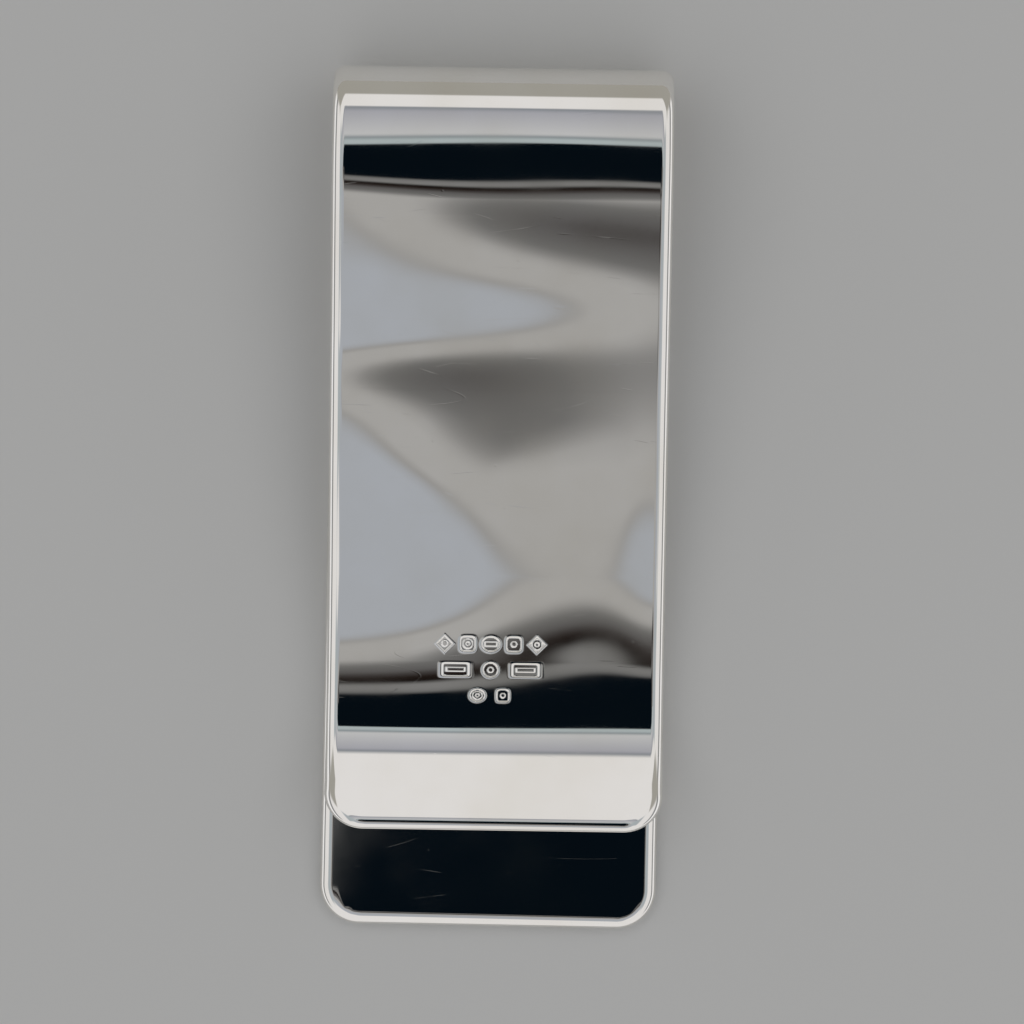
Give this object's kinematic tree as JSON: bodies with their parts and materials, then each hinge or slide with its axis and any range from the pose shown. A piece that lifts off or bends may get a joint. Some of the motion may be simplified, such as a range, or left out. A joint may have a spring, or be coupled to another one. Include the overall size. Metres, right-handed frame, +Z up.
{
  "type": "money clip",
  "caption": "Spring money clip bent from one polished silver strip: flat front plate, U fold, crested back leg that pinches the plate, and a flared thumb lip.",
  "frame": {"origin": "centre of the clip's footprint on the surface that the front plate's outer face rests on", "axes": "+Z up from the resting face towards the back leg, +Y along the strip towards the fold, +X to the right with the fold at the top"},
  "size_m": [0.0214, 0.0541, 0.0068],
  "materials": {
    "silver_plate": "mirror-polished sterling silver with fine handling scratches",
    "silver_fold": "mirror-polished sterling silver, slightly softer polish around the bend",
    "silver_leg": "mirror-polished sterling silver with a hand-polished wave"
  },
  "bodies": {
    "plate": {"front_plate": "silver_plate", "fold_heel": "silver_fold"},
    "fold": {"fold_shoulder": "silver_fold", "crest": "silver_leg"},
    "leg": {"leg_upper": "silver_leg"},
    "tongue": {"leg_lower": "silver_leg", "pinch_bend": "silver_leg", "thumb_lip": "silver_leg"}
  },
  "joints": [
    {"name": "fold_flex", "type": "hinge", "parent": "plate", "child": "fold", "pos_m": [0, 0.0265, 0.00289], "axis": [-1, -0.0052, 0], "range_deg": [0, 3.4], "stiffness_Nm_per_rad": 14},
    {"name": "crest_flex", "type": "hinge", "parent": "fold", "child": "leg", "pos_m": [0.00005, 0.01758, 0.00595], "axis": [-1, -0.0052, 0], "range_deg": [0, 4.3], "stiffness_Nm_per_rad": 9},
    {"name": "leg_flex", "type": "hinge", "parent": "leg", "child": "tongue", "pos_m": [0.0001, 0.0069, 0.00421], "axis": [-1, -0.0052, 0], "range_deg": [0, 2.2], "stiffness_Nm_per_rad": 10}
  ]
}
